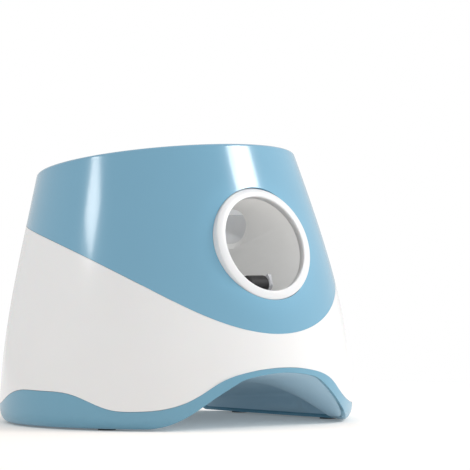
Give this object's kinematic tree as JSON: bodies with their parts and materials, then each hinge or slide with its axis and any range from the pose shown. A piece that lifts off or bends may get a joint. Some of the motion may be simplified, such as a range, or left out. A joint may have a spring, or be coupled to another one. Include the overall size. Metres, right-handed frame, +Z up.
{
  "type": "automatic dog ball launcher",
  "caption": "Oval tub that takes a ball in its open top and throws it from a tilted round port, with a geared spring kicker inside and an arched base.",
  "frame": {"origin": "on the floor under the middle of the body, between the feet", "axes": "+Z up, the launch port faces -Y, +X to the right when the port is seen from behind, across the body's widest line"},
  "size_m": [0.3182, 0.296, 0.2418],
  "materials": {
    "sky_blue_plastic": "gloss",
    "white_plastic": "gloss",
    "grey_plastic": "satin",
    "dark_plastic": "satin",
    "black_rubber": "matte",
    "grey_rubber": "matte",
    "nylon": "satin",
    "steel": "brushed",
    "motor_steel": "brushed",
    "circuit_board": "satin",
    "cell_sleeve": "gloss"
  },
  "bodies": {
    "housing": {"upper_shell": "sky_blue_plastic", "lower_shell": "white_plastic", "base_frame": "sky_blue_plastic", "rubber_feet": "grey_rubber", "underside_cover": "sky_blue_plastic", "cover_screws": "steel", "chassis_deck": "grey_plastic", "deck_screws": "steel", "port_ring": "white_plastic", "launch_tube": "grey_plastic", "tube_screws": "steel", "tube_end_cap": "grey_plastic", "ball_sensors": "dark_plastic", "hopper_funnel": "white_plastic", "drop_chute": "white_plastic", "kicker_spring": "steel", "bearing_bracket": "grey_plastic", "arm_bumper": "black_rubber", "drive_motor": "motor_steel", "gearbox_inner_plate": "grey_plastic", "gearbox_outer_plate": "grey_plastic", "gearbox_screws": "steel", "control_panel": "grey_plastic", "button_board": "circuit_board", "dc_jack": "dark_plastic", "control_board": "circuit_board", "board_components": "dark_plastic", "battery_tray": "grey_plastic", "battery_cells": "cell_sleeve", "battery_strap": "dark_plastic"},
    "kicker": {"kicker_arm": "grey_plastic", "kicker_pad": "black_rubber", "kicker_shaft": "steel", "kicker_gear": "nylon"},
    "sector": {"sector_gear": "nylon", "sector_shaft": "steel"},
    "idler": {"idler_gear": "nylon", "idler_shaft": "steel"},
    "motor_rotor": {"motor_pinion": "nylon", "motor_shaft": "steel"},
    "power_button": {"power_button": "white_plastic"},
    "distance_button": {"distance_button": "sky_blue_plastic"}
  },
  "joints": [
    {"name": "kicker_swing", "type": "hinge", "parent": "housing", "child": "kicker", "pos_m": [0.06, -0.07707, 0.06394], "axis": [-1, 0, 0], "range_deg": [0, 93], "stiffness_Nm_per_rad": 0.05, "springref_deg": -28.65, "deforming": ["kicker_spring"]},
    {"name": "sector_turn", "type": "hinge", "parent": "housing", "child": "sector", "pos_m": [0.06, -0.03394, 0.07712], "axis": [1, 0, 0], "range_deg": [0, 47]},
    {"name": "idler_turn", "type": "hinge", "parent": "housing", "child": "idler", "pos_m": [0.06, -0.00674, 0.0922], "axis": [-1, 0, 0], "range_deg": [0, 195]},
    {"name": "motor_turn", "type": "hinge", "parent": "housing", "child": "motor_rotor", "pos_m": [0.06, 0.01344, 0.08055], "axis": [1, 0, 0], "range_deg": [0, 935]},
    {"name": "power_press", "type": "slide", "parent": "housing", "child": "power_button", "axis": [0, -1, 0], "range_m": [0, 0.0012], "stiffness_N_per_m": 300},
    {"name": "distance_press", "type": "slide", "parent": "housing", "child": "distance_button", "axis": [0, -1, 0], "range_m": [0, 0.0012], "stiffness_N_per_m": 300}
  ],
  "couplings": [
    {"joint": "sector_turn", "follows": "kicker_swing", "ratio": 0.5},
    {"joint": "idler_turn", "follows": "kicker_swing", "ratio": 2.0833},
    {"joint": "motor_turn", "follows": "kicker_swing", "ratio": 10}
  ]
}
